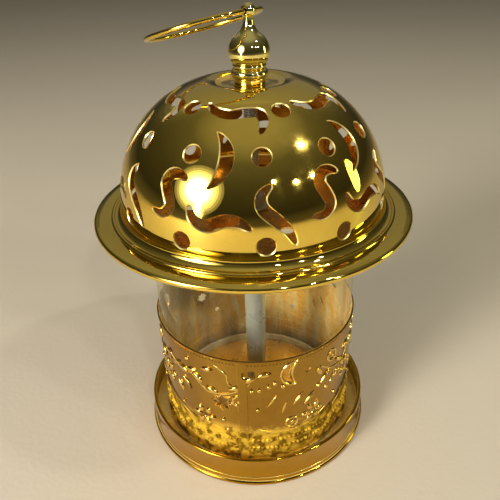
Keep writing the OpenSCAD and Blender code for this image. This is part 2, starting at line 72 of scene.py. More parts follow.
# Band
BAND_H = 62
BAND_T = 0.4
BAND_HEM_R = 0.6
BAND_REPEATS = 3
SEAM_W = 4
SEAM_TURN = 3
SEAM_LINE = 0.3
RELIEF = 1.0
DENT = 0.28
LEAF = (6.6, 2.6)
BLADE = (8, 1.3)
PETAL = (4.4, 2.8)
PETAL_RING_R = 3.9
PETAL_COUNT = 6
STUD_R = 1.0
SCROLL_R = 2.9
SCROLL_W = 1.3
BAND_CRESCENT = (10.5, 5.6, 2.6)
BAND_STAR_R = 3.9
SMALL_STAR_R = 1.7
BAND_HOLE_R = 1.3
BAND_SLOT = (5, 3.5)
BEAD_ROWS = (7.8, 12.8)
BEAD_ROW_R = 0.85
BEAD_COUNT = 140
DOT_R = 0.4
DOT_COUNT = 190
SEAT_GAP = 0.3

# Plate under the dome
PLATE_RIM_H = 4
VENT_R = 3
VENT_CIRCLE_R = 28
VENT_COUNT = 6

# Dome
DOME_R = 57.3
SKIN_T = 0.7
DOME_ARC_R = 48.5
WALL_H = 6.6
BRIM_RISE = 1.6
BRIM_R = 70
LIP_R = 1.4
COVE_R = 3.4
BRIM_BEAD_R = 0.9
BRIM_ARC_R = 11
CROWN_R = 20
CROWN_TURN_R = 10
DISH_DEPTH = 1.8

# Dome piercings, their heights measured along the skin
DOME_REPEATS = 6
FIRST_AZIMUTH = -100.8
HOLE_R = 3.4
LOW_HOLE_H = 8.7
MID_HOLE_H = 40.7
TOP_HOLE_H = 59.2
CRESCENT_H = 39.4
CRESCENT = (20.8, 8.0, 2.9)
CRESCENT_TILT = -4
# How far, in degrees, the hand-set punches are spread at the front
PUNCH_SPREAD = 3.5
CURL_W = 4.5
CURL_STEPS = 6

# Rod, sleeve and fasteners
ROD_R = 3
ROD_LEN = 187
ROD_Z = 0.6
THREAD_PITCH = 1
THREAD_DEPTH = 0.5
THREAD_CREST = 0.12
THREAD_SINK = 0.2
SLEEVE_R = 5.1
SLEEVE_WALL = 0.9
SLEEVE_SOFT = 0.2
NUT_FLATS = 10
NUT_T = 5
THIN_NUT_T = 3
NUT_MOUTH = 0.3
WASHER_R = 7.5
WASHER_T = 1
FERRULE_R = 7
FERRULE_T = 1.2
FERRULE_H = 4
BORE_R = 3.06

# Finial and ring
FOOT_R = 6.3
FOOT_H = 2.2
FOOT_CHAMFER = 0.3
FINIAL_BEAD_R = 7.6
FINIAL_BEAD_H = 3.8
WAIST_R = 6.8
WAIST_H = 2
BULB_R = 8.3
NECK_RISE = 12.2
BULB_SINK = 3.8
BULB_TURN_R = 4.9
NECK_R = 1.95
KNOB_RISE = 2.9
KNOB_R = 2.9
SPLIT_RISE = 8.6
STEM_R = 1.5
STEM_GAP = 0.06
STEM_LEN = 4
RING_R = 24.1
WIRE_R = 1
EYE_CLEAR = 0.4
EYE_TURN = 38
RING_DROOP = 16

# Heights that follow
FLOOR_Z = TRAY_RECESS + SHEET_T
GLASS_Z = FLOOR_Z + GASKET_T
PLATE_Z = GLASS_Z + GLASS_H + GASKET_T
PLATE_TOP_Z = PLATE_Z + SHEET_T
BRIM_Z = PLATE_TOP_Z + BRIM_RISE + SKIN_T
SPRING_Z = BRIM_Z + WALL_H
ARC_X = DOME_R - DOME_ARC_R
TURN_ANGLE = math.acos((CROWN_R - ARC_X) / DOME_ARC_R)
TURN_X = ARC_X + (DOME_ARC_R - CROWN_TURN_R) * math.cos(TURN_ANGLE)
TURN_Z = SPRING_Z + (DOME_ARC_R - CROWN_TURN_R) * math.sin(TURN_ANGLE)
SEAT_Z = TURN_Z + CROWN_TURN_R - DISH_DEPTH
CROWN_UNDER_Z = SEAT_Z - SKIN_T
DISH_Z = SEAT_Z + CROWN_TURN_R
DISH_ANGLE = math.acos((DISH_Z - TURN_Z) / (2 * CROWN_TURN_R))
DISH_X = TURN_X - 2 * CROWN_TURN_R * math.sin(DISH_ANGLE)
LIP_X = BRIM_R - LIP_R
LIP_Z = BRIM_Z - LIP_R
COVE_X = DOME_R + COVE_R
BRIM_BEAD_X = COVE_X + BRIM_BEAD_R
BEAD_Z = SEAT_Z + FOOT_H
BULB_FOOT_Z = BEAD_Z + FINIAL_BEAD_H + WAIST_H
BULB_Z = BULB_FOOT_Z + BULB_SINK
NECK_Z = BULB_Z + NECK_RISE
KNOB_Z = NECK_Z + KNOB_RISE
SPLIT_Z = BULB_Z + SPLIT_RISE
OGEE_R = (NECK_R**2 + NECK_RISE**2 - BULB_R**2) / (2 * (BULB_R - NECK_R))
GLASS_IN_R = GLASS_R - GLASS_WALL
BAND_IN_R = GLASS_R + SEAT_GAP
BAND_OUT_R = BAND_IN_R + BAND_T
BAND_Z = GLASS_Z
REPEAT_LEN = math.tau * BAND_OUT_R / BAND_REPEATS
PLATE_RIM_R = DOME_R - SKIN_T - SEAT_GAP


# Outlines


def arc(centre, radius, start, end, steps):
    """Points along an arc, its angles in degrees."""
    angles = [math.radians(start + (end - start) * i / steps) for i in range(steps + 1)]
    return [(centre[0] + radius * math.cos(a), centre[1] + radius * math.sin(a)) for a in angles]


def softened(points, radius, steps=3):
    """A closed outline with each corner rounded."""
    out = []
    for i, corner in enumerate(points):
        here = Vector(corner)
        before = Vector(points[i - 1]) - here
        after = Vector(points[(i + 1) % len(points)]) - here
        reach = min(radius, before.length / 2.2, after.length / 2.2)
        start = here + before.normalized() * reach
        end = here + after.normalized() * reach
        for k in range(steps + 1):
            t = k / steps
            out.append(tuple(start * (1 - t) ** 2 + here * (2 * t * (1 - t)) + end * t**2))
    return out


def box_outline(x0, x1, z0, z1):
    return [(x0, z0), (x1, z0), (x1, z1), (x0, z1)]


def lifted(outline, z):
    return [(x, z + height) for x, height in outline]


def disc_outline(radius, steps=40):
    return arc((0, 0), radius, 0, 360, steps)[:-1]


def circle_through(chord, depth):
    """The radius of a circle that bulges by the depth over the chord."""
    return (chord * chord / 4 + depth * depth) / (2 * depth)


def crescent_outline(chord, outer, inner, steps=26, side=1):
    """A crescent whose tips lie on the Y axis, its back towards the side given."""
    outer_r = circle_through(chord, outer)
    inner_r = circle_through(chord, inner)
    tip_out = math.degrees(math.asin(chord / 2 / outer_r))
    if outer > chord / 2:
        tip_out = 180 - tip_out
    tip_in = math.degrees(math.asin(chord / 2 / inner_r))
    back = arc((outer / 2 - outer_r, 0), outer_r, -tip_out, tip_out, steps)
    hollow = arc((inner - outer / 2 - inner_r, 0), inner_r, tip_in, -tip_in, steps)
    outline = back + hollow[1:-1]
    if side < 0:
        outline = [(-x, y) for x, y in reversed(outline)]
    return outline


def star_outline(points, radius, waist):
    out = []
    for i in range(2 * points):
        reach = radius if i % 2 == 0 else radius * waist
        angle = math.pi / 2 + i * math.pi / points
        out.append((reach * math.cos(angle), reach * math.sin(angle)))
    return out


def smooth_line(points, steps):
    """A smooth curve through the given points."""
    last = len(points) - 1
    out = []
    for i in range(last):
        a, b, c, d = (Vector(points[min(max(i + k, 0), last)]) for k in (-1, 0, 1, 2))
        for k in range(steps):
            t = k / steps
            square = 2 * a - 5 * b + 4 * c - d
            cube = 3 * b - a - 3 * c + d
            out.append((2 * b + (c - a) * t + square * t**2 + cube * t**3) / 2)
    return out + [Vector(points[last])]


def curl_outline(shares, length):
    """A curl along a centre line, widest in the middle and run out to two round tips."""
    line = smooth_line([(x * length, y * length) for x, y in shares], CURL_STEPS)
    last = len(line) - 1
    left, right = [], []
    for i, here in enumerate(line):
        along = (line[min(i + 1, last)] - line[max(i - 1, 0)]).normalized()
        across = Vector((-along.y, along.x))
        reach = math.sin(math.pi * i / last) ** 0.5 * CURL_W / 2
        left.append(tuple(here + across * reach))
        right.append(tuple(here - across * reach))
    return right + left[-2:0:-1]


# Meshes


def traced(mesh, outline):
    """The closed outline as edges in the XZ plane."""
    verts = [mesh.verts.new((x, 0, z)) for x, z in outline]
    pairs = list(zip(verts, verts[1:])) + [(verts[-1], verts[0])]
    return verts + [mesh.edges.new(pair) for pair in pairs]


def tidy(mesh):
    bmesh.ops.remove_doubles(mesh, verts=mesh.verts, dist=WELD)
    bmesh.ops.recalc_face_normals(mesh, faces=mesh.faces)
    return mesh


def doubled(mesh, move):
    """Adds a moved copy of all that the mesh holds."""
    copied = bmesh.ops.duplicate(mesh, geom=mesh.verts[:] + mesh.edges[:] + mesh.faces[:])["geom"]
    verts = [part for part in copied if isinstance(part, bmesh.types.BMVert)]
    bmesh.ops.transform(mesh, matrix=move, verts=verts)


# A full turn is spun as one sector, which is then doubled this many times
DOUBLINGS = 3


def turned(outline, steps=WIDE_TURN):
    """The outline of radius and height spun right round the lantern's axis."""
    mesh = bmesh.new()
    ring = traced(mesh, outline)
    sectors = 2**DOUBLINGS
    angle = math.tau / sectors
    bmesh.ops.spin(mesh, geom=ring, axis=(0, 0, 1), angle=angle, steps=steps // sectors)
    for _ in range(DOUBLINGS):
        doubled(mesh, Matrix.Rotation(angle, 4, "Z"))
        angle *= 2
    return tidy(mesh)


def part_turned(outline, azimuth, width, steps):
    """The outline spun through a few degrees only, its ends closed."""
    mesh = bmesh.new()
    ring = traced(mesh, outline)
    start = Matrix.Rotation(math.radians(azimuth - width / 2), 3, "Z")
    bmesh.ops.rotate(mesh, matrix=start, verts=mesh.verts)
    bmesh.ops.spin(mesh, geom=ring, axis=(0, 0, 1), angle=math.radians(width), steps=steps)
    bmesh.ops.holes_fill(mesh, edges=mesh.edges)
    return tidy(mesh)


def raised(mesh, face, height, base=False):
    """Pulls a face out along Z, with walls behind it. What it leaves stays only where it is the base."""
    pulled = bmesh.ops.extrude_face_region(mesh, geom=[face])["geom"]
    top = [part for part in pulled if isinstance(part, bmesh.types.BMFace)][0]
    bmesh.ops.translate(mesh, vec=(0, 0, height), verts=top.verts)
    if not base:
        bmesh.ops.delete(mesh, geom=[face], context="FACES_ONLY")
    return top


def flat_face(outline, z):
    """A new mesh with the outline as its only face."""
    mesh = bmesh.new()
    return mesh, mesh.faces.new([mesh.verts.new((x, y, z)) for x, y in outline])


def prism(outline, z0, z1):
    mesh, face = flat_face(outline, z0)
    raised(mesh, face, z1 - z0, base=True)
    return tidy(mesh)


def joined(meshes):
    """One mesh made of several that don't touch."""
    whole = bmesh.new()
    for mesh in meshes:
        held = bpy.data.meshes.new("held")
        mesh.to_mesh(held)
        mesh.free()
        whole.from_mesh(held)
        bpy.data.meshes.remove(held)
    return whole


def shown(name, data):
    thing = bpy.data.objects.new(name, data)
    bpy.context.scene.collection.objects.link(thing)
    return thing


def placed(mesh, name):
    data = bpy.data.meshes.new(name)
    mesh.to_mesh(data)
    mesh.free()
    return shown(name, data)


def combined(mesh, tool, operation):
    """The mesh cut by, joined to or kept only within the tool."""
    body = placed(mesh, "worked")
    other = placed(tool, "tool")
    step = body.modifiers.new("cut", "BOOLEAN")
    step.operation = operation
    step.solver = "MANIFOLD"
    step.object = other
    bpy.context.view_layer.update()
    result = bpy.data.meshes.new_from_object(body.evaluated_get(bpy.context.evaluated_depsgraph_get()))
    for thing in (body, other):
        bpy.data.objects.remove(thing)
    out = bmesh.new()
    out.from_mesh(result)
    bpy.data.meshes.remove(result)
    return out


def finished(mesh, name, body, nodes, finishes):
    """The piece itself: scaled to metres, smooth, riding its body in place of its nodes."""
    bmesh.ops.scale(mesh, vec=(MM, MM, MM), verts=mesh.verts)
    thing = placed(mesh, name)
    thing.data.shade_smooth()
    thing.data.set_sharp_from_angle(angle=math.radians(CRISP))
    for finish in finishes:
        thing.data.materials.append(finish)
    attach(thing, body)
    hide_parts(*nodes)
    return thing


# Shader maths


class Wire:
    """A shader value that plain arithmetic can be written with."""

    def __init__(self, finish, socket):
        self.finish = finish
        self.socket = socket

    def maths(self, operation, a, b):
        return self.finish.node("ShaderNodeMath", {"operation": operation}, {0: a, 1: b})

    def __add__(self, other):
        return self.maths("ADD", self, other)

    def __sub__(self, other):
        return self.maths("SUBTRACT", self, other)

    def __mul__(self, other):
        return self.maths("MULTIPLY", self, other)

    def __pow__(self, other):
        return self.maths("POWER", self, other)

    def __rsub__(self, other):
        return self.maths("SUBTRACT", other, self)


class Finish:
    """A material whose nodes are added one by one."""

    def __init__(self, name):
        self.material = bpy.data.materials.new(name)
        self.material.use_nodes = True
        self.tree = self.material.node_tree
        self.shader = self.tree.nodes["Principled BSDF"]

    def node(self, kind, settings=None, inputs=None, output=0):
        made = self.tree.nodes.new(kind)
        for key, value in (settings or {}).items():
            setattr(made, key, value)
        for key, value in (inputs or {}).items():
            if isinstance(value, Wire):
                self.tree.links.new(value.socket, made.inputs[key])
            else:
                made.inputs[key].default_value = value
        return Wire(self, made.outputs[output])

    def place(self):
        return self.node("ShaderNodeTexCoord", output="Object")

    def noise(self, vector, scale, detail=3, rough=0.5):
        inputs = {"Vector": vector, "Scale": scale, "Detail": detail, "Roughness": rough}
        return self.node("ShaderNodeTexNoise", {}, inputs, "Fac")

    def between(self, value, low, high, out_low=0.0, out_high=1.0):
        inputs = {"Value": value, "From Min": low, "From Max": high, "To Min": out_low, "To Max": out_high}
        return self.node("ShaderNodeMapRange", {"clamp": True}, inputs)

    def blend(self, share, a, b):
        """Two colours mixed by a share."""
        mix = self.tree.nodes.new("ShaderNodeMix")
        mix.data_type = "RGBA"
        for socket, value in ((mix.inputs[0], share), (mix.inputs[6], a), (mix.inputs[7], b)):
            if isinstance(value, Wire):
                self.tree.links.new(value.socket, socket)
            else:
                socket.default_value = value if isinstance(value, float) else (*value, 1)
        return Wire(self, mix.outputs[2])

    def bump(self, height, distance, under=None):
        inputs = {"Height": height, "Distance": distance, "Strength": 1.0}
        if under:
            inputs["Normal"] = under
        return self.node("ShaderNodeBump", {}, inputs)

    def axes(self):
        """The object's own coordinates, one by one."""
        apart = self.tree.nodes.new("ShaderNodeSeparateXYZ")
        self.tree.links.new(self.place().socket, apart.inputs[0])
        return [Wire(self, apart.outputs[i]) for i in range(3)]

    def spun(self, across, along):
        """Coordinates drawn out round the axis, for marks left by turning on a lathe."""
        x, y, z = self.axes()
        radius = (x * x + y * y) ** 0.5
        angle = self.node("ShaderNodeMath", {"operation": "ARCTAN2"}, {0: y, 1: x})
        return self.node("ShaderNodeCombineXYZ", {}, {0: radius * across, 1: z * across, 2: angle * along})

    def set(self, **values):
        """Each value goes to the shader's socket of that name, linked or set."""
        for key, value in values.items():
            socket = self.shader.inputs[key.replace("_", " ")]
            if isinstance(value, Wire):
                self.tree.links.new(value.socket, socket)
            else:
                socket.default_value = (*value, 1) if isinstance(value, tuple) else value
        return self.material


# Depth of the rings that turning leaves, in metres
RING_DEPTH = 0.0000035
# Colour of the painted streaks of light on the band's back, painted highlights
PAINTED_STREAK_LIGHT = (1.0, 0.93, 0.66)
# Painted glints and painted shade in the band's foot, where reflections glitter: the heights, in metres,
# where they begin and are full, and how far they wander
PAINTED_GLINT_FADE = (0.031, 0.023)
PAINTED_GLINT_WAVE = 0.008
# Colours of the painted glints and of the painted shade between them
PAINTED_GLINT_PALE = (1.0, 0.64, 0.06)
PAINTED_GLINT_SHADE = (0.3, 0.16, 0.01)


def plated(name, pale, deep, gloss, worn, dents=0.00006, metal=1.0, foot=False, streaks=0.0):
    """Bright plating over spun sheet: a cloudy tone with specks, smears, turning rings and soft dents, and
    where asked painted streaks of light and painted glints and shade at the band's foot.
    """
    f = Finish(name)
    place = f.place()
    cloud = f.noise(place, 22, 4)
    fine = f.noise(place, 260, 3)
    rings = f.noise(f.spun(1500, 1.5), 1, 4, 0.65)
    smear = f.between(f.noise(place, 70, 5, 0.62), 0.42, 0.72)
    specks = f.between(f.noise(place, 900, 2), 0.66, 0.78)
    colour = f.blend(f.between(cloud * 0.7 + fine * 0.3, 0.3, 0.7), pale, deep)
    colour = f.blend(specks * 0.35, colour, (deep[0] * 0.45, deep[1] * 0.38, deep[2] * 0.35))
    # Painted highlights: streaks of light painted into the colour
    if streaks:
        streak = f.between(f.noise(f.spun(45, 12), 1, 4, 0.6), 0.46, 0.6)
        colour = f.blend(streak * streaks, colour, PAINTED_STREAK_LIGHT)
    # Painted glints and shade over the band's foot; the metal there is also made partly diffuse
    if foot:
        low = f.between(f.axes()[2] + cloud * PAINTED_GLINT_WAVE - PAINTED_GLINT_WAVE / 2, *PAINTED_GLINT_FADE)
        colour = f.blend(low, colour, f.blend(f.between(fine, 0.44, 0.58), PAINTED_GLINT_PALE, PAINTED_GLINT_SHADE))
        metal = 1.0 - low * 0.6
    dent = f.bump(f.noise(place, 45, 2), dents)
    ringed = f.bump(rings, RING_DEPTH, dent)
    return f.set(
        Base_Color=colour,
        Metallic=metal,
        Roughness=f.between(smear + specks * 0.5 + rings * 0.2, 0.1, 1.2, gloss, worn),
        Normal=ringed,
    )


outer_gold = plated("polished gold plating", (0.92, 0.68, 0.13), (0.85, 0.58, 0.09), 0.02, 0.15)
inner_gold = plated("dome lining", (0.8, 0.5, 0.1), (0.66, 0.36, 0.06), 0.2, 0.4)
# Punched edges: paler and brighter than the outer plating, a painted highlight along the rounded cuts
cut_edge_highlight_gold = plated("punched edges, painted highlight", (1.0, 0.84, 0.34), (0.95, 0.7, 0.22), 0.28, 0.45, 0.00001)
tray_gold = plated("tray plating", (0.52, 0.29, 0.02), (0.44, 0.23, 0.014), 0.06, 0.2)
floor_gold = plated("tray floor", (0.98, 0.76, 0.26), (0.9, 0.6, 0.12), 0.25, 0.45, 0.0012, 0.6)
# A paler copy of the band's plating for its raised forms and beads: a painted highlight on them, with the
# painted glints at the foot
raised_highlight_gold = plated("raised forms of the band, painted highlight", (0.86, 0.6, 0.16), (0.76, 0.48, 0.1), 0.12, 0.25, foot=True)
finial_gold = plated("finial plating", (1.0, 0.85, 0.32), (0.96, 0.77, 0.24), 0.03, 0.15, 0.0004)
# Tray's inner wall: its olive tone is a painted reflection of dim olive surroundings
wall_gold = plated("tray wall inside", (0.5, 0.4, 0.1), (0.42, 0.33, 0.07), 0.25, 0.4, 0.0003, 0.55)
# Flat band sheet: a deep amber tone, partly the plating's own colour and partly a painted reflection of warm,
# dim surroundings; painted glints and shade at its foot
band_gold = plated(
    "stamped band plating", (0.46, 0.27, 0.045), (0.36, 0.19, 0.025), 0.05, 0.2, 0.00003, foot=True
)
# The back of the band: bright and mostly diffuse, with painted streaks of light on it
back_gold = plated(
    "back of the band, painted streaks of light", (1.0, 0.72, 0.22), (0.92, 0.55, 0.11), 0.25, 0.45, 0.002, 0.15, streaks=0.8
)
# Satin sleeve: its bluish tint is a painted reflection of cool light
satin_steel = plated("satin sleeve", (0.78, 0.89, 1.0), (0.68, 0.8, 0.96), 0.25, 0.4, 0.00002, 0.65)
zinc = plated("zinc plated fasteners", (0.72, 0.71, 0.66), (0.55, 0.53, 0.47), 0.24, 0.5, 0.00002)


def clear_glass():
    """Thin clear glass: a mirror seen edge on and a faintly warm window elsewhere, with a few smudges."""
    f = Finish("clear glass")
    place = f.place()
    waves = f.bump(f.noise(place, 18, 2), 0.00005)
    smudge = f.between(f.noise(place, 60, 4, 0.6), 0.55, 0.8)
    surface = f.set(
        Base_Color=f.blend(smudge, (0.93, 0.95, 0.93), (0.85, 0.84, 0.8)),
        Metallic=1.0,
        Roughness=f.between(smudge, 0.0, 1.0, 0.01, 0.12),
        Normal=waves,
    )
    edge_on = f.node("ShaderNodeLayerWeight", {}, {"Blend": 0.5, "Normal": waves}, "Facing")
    window = f.node("ShaderNodeBsdfTransparent", {}, {"Color": (0.985, 0.955, 0.87, 1)})
    mixed = f.tree.nodes.new("ShaderNodeMixShader")
    f.tree.links.new((edge_on**5 * 0.9 + smudge * 0.015 + 0.015).socket, mixed.inputs[0])
    f.tree.links.new(window.socket, mixed.inputs[1])
    f.tree.links.new(f.shader.outputs[0], mixed.inputs[2])
    f.tree.links.new(mixed.outputs[0], f.tree.nodes["Material Output"].inputs["Surface"])
    return surface


def gasket_rubber():
    f = Finish("silicone gasket")
    place = f.place()
    dust = f.between(f.noise(place, 300, 4, 0.6), 0.45, 0.75)
    return f.set(
        Base_Color=f.blend(dust, (0.78, 0.76, 0.7), (0.58, 0.55, 0.47)),
        Roughness=f.between(dust, 0.0, 1.0, 0.42, 0.7),
        Subsurface_Weight=0.15,
        Normal=f.bump(f.noise(place, 900, 2), 0.00004),
    )


glass_clear = clear_glass()
rubber = gasket_rubber()

# Places of the finishes after the first in the lists of the dome, the tray and the band
LINING, CUT = 1, 2
TRAY_FLOOR, TRAY_WALL = 1, 2
BACK, RAISED = 1, 2
# Cosines that tell faces apart by where they look: along the dome's skin, to its inside, down, and level
ON_SKIN = 0.97
INSIDE = 0.5
UNDERSIDE = 0.3
LEVEL = 0.9


# Dome


def dome_outline():
    """Closed section of the dome's sheet: down the outside to the lip, and back up the inside."""
    turn = math.degrees(TURN_ANGLE)
    dish = math.degrees(DISH_ANGLE)
    middle_x = (BRIM_BEAD_X + LIP_X) / 2
    half = math.degrees(math.asin((LIP_X - BRIM_BEAD_X) / 2 / BRIM_ARC_R))
    crown = (middle_x, BRIM_Z - BRIM_ARC_R * math.cos(math.radians(half)))
    arc_c = (ARC_X, SPRING_Z)
    turn_c = (TURN_X, TURN_Z)
    dish_c = (DISH_X, DISH_Z)
    cove_c = (COVE_X, BRIM_Z + COVE_R)
    inner_r = DOME_R - SKIN_T
    wall_z = [BRIM_Z + COVE_R + (WALL_H - COVE_R) * i / 3 for i in range(1, 3)]
    outside = (
        [(BORE_R, SEAT_Z)]
        + arc(dish_c, CROWN_TURN_R, -90, dish - 90, 6)
        + arc(turn_c, CROWN_TURN_R, 90 + dish, turn, 12)[1:]
        + arc(arc_c, DOME_ARC_R, turn, 0, 44)[1:]
        + [(DOME_R, z) for z in reversed(wall_z)]
        + arc(cove_c, COVE_R, 180, 262, 8)
        + arc((BRIM_BEAD_X, BRIM_Z), BRIM_BEAD_R, 172, 20, 8)
        + arc(crown, BRIM_ARC_R, 90 + half - 4.5, 90 - half, 7)
        + arc((LIP_X, LIP_Z), LIP_R, 68, -120, 14)
    )
    inside = (
        arc((LIP_X, LIP_Z), LIP_R - SKIN_T, -120, 80, 8)
        + arc(crown, BRIM_ARC_R - SKIN_T, 90 - half, 90 + half - 4.5, 5)
        + arc((BRIM_BEAD_X, BRIM_Z), BRIM_BEAD_R * 0.6, 20, 160, 4)
        + arc(cove_c, COVE_R + SKIN_T, 262, 180, 6)
        + [(inner_r, z) for z in wall_z]
        + arc(arc_c, DOME_ARC_R - SKIN_T, 0, turn, 44)
        + arc(turn_c, CROWN_TURN_R - SKIN_T, turn, 90 + dish, 8)[1:]
        + arc(dish_c, CROWN_TURN_R + SKIN_T, dish - 90, -90, 6)
        + [(BORE_R, CROWN_UNDER_Z)]
    )
    return outside + inside


def skin_point(h):
    """Radius, height and slope of the normal at a height measured along the outer skin."""
    if h < WALL_H:
        return DOME_R, BRIM_Z + h, 0.0
    a = (h - WALL_H) / DOME_ARC_R
    return ARC_X + DOME_ARC_R * math.cos(a), SPRING_Z + DOME_ARC_R * math.sin(a), a


def facing(azimuth, radius, height, slope):
    """A place on a round wall: outline X runs round it, outline Y up it and Z out of it."""
    c, s = math.cos(slope), math.sin(slope)
    stand = Matrix(((0, -s, c, radius), (1, 0, 0, 0), (0, c, s, height), (0, 0, 0, 1)))
    return Matrix.Rotation(math.radians(azimuth), 4, "Z") @ stand


# How far a punched edge is rounded over, its cutter flares beyond the sheet, and it reaches either way
EDGE = 0.38
STAND_OFF = 0.3
CUTTER_REACH = 5


def punch(outline, place, skin, edge=EDGE, reach=CUTTER_REACH):
    """A cutter for one opening: straight through the sheet, and flared where it meets the outer skin."""
    mesh, face = flat_face(outline, -reach)
    top = raised(mesh, face, reach - edge, base=True)
    flare = edge + STAND_OFF
    bmesh.ops.inset_individual(mesh, faces=[top], thickness=-flare, depth=0)
    bmesh.ops.translate(mesh, vec=(0, 0, flare), verts=top.verts)
    top = raised(mesh, top, reach)
    outward = (place.to_3x3() @ Vector((0, 0, 1))).normalized()
    for vert in mesh.verts:
        level = vert.co.z
        vert.co = place @ vert.co
        if abs(level) < reach / 2:
            hit = skin.ray_cast(vert.co + outward * 20, -outward)[0]
            vert.co = hit + outward * level
    return tidy(mesh)


def on_dome(share, h, tilt=0):
    radius, height, slope = skin_point(h)
    azimuth = FIRST_AZIMUTH + share * 360 / DOME_REPEATS
    from_front = math.radians(azimuth + 90)
    azimuth += PUNCH_SPREAD * math.sin(from_front) * (1 + math.cos(from_front)) / 2
    return facing(azimuth, radius, height, slope) @ Matrix.Rotation(math.radians(tilt), 4, "Z")


LEAN_CURL = [(-0.05, 0.52), (-0.22, 0.36), (-0.21, 0.16), (0, -0.05), (0.18, -0.23), (0.31, -0.48)]
HOOK_CURL = [
    (0.45, 0.44), (0.24, 0.53), (0, 0.5), (-0.12, 0.28), (0, 0), (0.08, -0.27), (-0.13, -0.48), (-0.47, -0.45)
]
LYING_CURL = [(-0.5, 0.22), (-0.43, 0.02), (-0.22, -0.07), (0.07, 0.03), (0.28, 0.01), (0.45, -0.1)]
TOP_CURL = [
    (-0.5, 0.28), (-0.36, 0.08), (-0.1, -0.03), (0.18, 0.03), (0.4, 0.05), (0.51, -0.12), (0.48, -0.38)
]


def dome_motifs():
    """The openings of one repeat: outline, then share of the repeat, height along the skin and tilt."""
    hole = disc_outline(HOLE_R)
    return [
        (hole, (0.25, LOW_HOLE_H)),
        (hole, (0.75, LOW_HOLE_H)),
        (hole, (0.25, MID_HOLE_H)),
        (hole, (0.75, MID_HOLE_H)),
        (hole, (0.5, TOP_HOLE_H)),
        (crescent_outline(*CRESCENT), (-0.02, CRESCENT_H, CRESCENT_TILT)),
        (curl_outline(LEAN_CURL, 22), (0.315, 19.2)),
        (curl_outline(HOOK_CURL, 15), (0.64, 24.8)),
        (curl_outline(LYING_CURL, 24), (-0.005, 17.7)),
        (curl_outline(TOP_CURL, 21), (0.02, 58.7)),
    ]


# How far below the turn to the crown the true normals end
CROWN_MARGIN = 0.5


def skin_normal(point):
    """The dome's true normal at a point of its wall or its main arc."""
    radius = math.hypot(point.x, point.y)
    slope = math.atan2(point.z - SPRING_Z, radius - ARC_X) if point.z > SPRING_Z else 0.0
    c = math.cos(slope) / radius
    return Vector((c * point.x, c * point.y, math.sin(slope)))


def trued_normals(thing, top_z):
    """True normals for the dome's smooth skin, which openings would bend; finishes for lining and cuts."""
    data = thing.data
    normals = [Vector(corner.vector) for corner in data.corner_normals]
    for face in data.polygons:
        centre = face.center / MM
        if not BRIM_Z + COVE_R < centre.z < top_z:
            continue
        side = skin_normal(centre).dot(face.normal)
        if side < -INSIDE:
            face.material_index = LINING
        if abs(side) < ON_SKIN:
            if side > -INSIDE:
                face.material_index = CUT
            continue
        for loop in face.loop_indices:
            point = data.vertices[data.loops[loop].vertex_index].co / MM
            normals[loop] = skin_normal(point) * math.copysign(1, side)
    data.normals_split_custom_set(normals)


def make_dome():
    sheet = turned(dome_outline())
    skin = BVHTree.FromBMesh(sheet)
    punches = []
    for i in range(DOME_REPEATS):
        for outline, (share, *rest) in dome_motifs():
            punches.append(punch(outline, on_dome(i + share, *rest), skin))
    cut = combined(sheet, joined(punches), "DIFFERENCE")
    dome = finished(cut, "pierced_dome", "dome", ["dome_shell"], [outer_gold, inner_gold, cut_edge_highlight_gold])
    trued_normals(dome, SPRING_Z + DOME_ARC_R * math.sin(TURN_ANGLE) - CROWN_MARGIN)
    for face in dome.data.polygons:
        if face.center.z / MM > SPRING_Z and face.normal.z < -UNDERSIDE:
            face.material_index = LINING


make_dome()


# Tray, gaskets, glass and plate


def tray_outline():
    foot_c = (TRAY_FOOT_R - FOOT_BEAD_R, FOOT_BEAD_R)
    rim_c = (TRAY_RIM_R - RIM_BEAD_R, TRAY_H - RIM_BEAD_R)
    inner_r = TRAY_RIM_R - SHEET_T
    groove_c = (TRAY_WALL_R, WALL_GROOVE_Z)
    under_r = TRAY_WALL_R - SHEET_T
    return (
        [(ROD_R + SEAT_GAP, TRAY_RECESS), (ROD_R + SEAT_GAP, FLOOR_Z)]
        + arc((inner_r - TRAY_CORNER_R, FLOOR_Z + TRAY_CORNER_R), TRAY_CORNER_R, -90, 0, 6)
        + arc(rim_c, RIM_BEAD_R, 240, -30, 16)
        + arc(groove_c, WALL_GROOVE_R, 100, 260, 6)
        + arc(foot_c, FOOT_BEAD_R, 76, -90, 12)
        + [(foot_c[0] - 0.6, 0), (under_r, FOOT_BEAD_R), (under_r, TRAY_RECESS)]
    )


def make_tray():
    finishes = [tray_gold, floor_gold, wall_gold]
    tray = finished(turned(tray_outline()), "spun_tray", "lantern", ["base_tray"], finishes)
    for face in tray.data.polygons:
        height = face.center.z
        inward = face.normal.xy.dot(face.center.xy) < 0
        if face.normal.z > LEVEL and height < (FLOOR_Z + 1) * MM:
            face.material_index = TRAY_FLOOR
        elif inward and height > FLOOR_Z * MM and abs(face.normal.z) < LEVEL:
            face.material_index = TRAY_WALL


def gasket_outline(up):
    lip_out = GLASS_IN_R - SEAT_GAP
    lip_in = lip_out - GASKET_LIP_W
    flange = BAND_OUT_R + BAND_HEM_R
    points = [(lip_in, 0), (flange, 0), (flange, GASKET_T), (lip_out, GASKET_T)]
    points += [(lip_out, GASKET_T + GASKET_LIP_H), (lip_in, GASKET_T + GASKET_LIP_H)]
    if not up:
        points = [(x, GASKET_T - z) for x, z in reversed(points)]
    return softened(points, 0.35)


def make_gaskets():
    for name, node, z, up in (
        ("gasket_ring_low", "lower_gasket", FLOOR_Z, True),
        ("gasket_ring_high", "upper_gasket", GLASS_Z + GLASS_H, False),
    ):
        finished(turned(lifted(gasket_outline(up), z)), name, "lantern", [node], [rubber])


def make_glass():
    outline = softened(box_outline(GLASS_IN_R, GLASS_R, GLASS_Z, GLASS_Z + GLASS_H), 0.6, 4)
    finished(turned(outline), "glass_tube", "lantern", ["glass_cylinder"], [glass_clear])


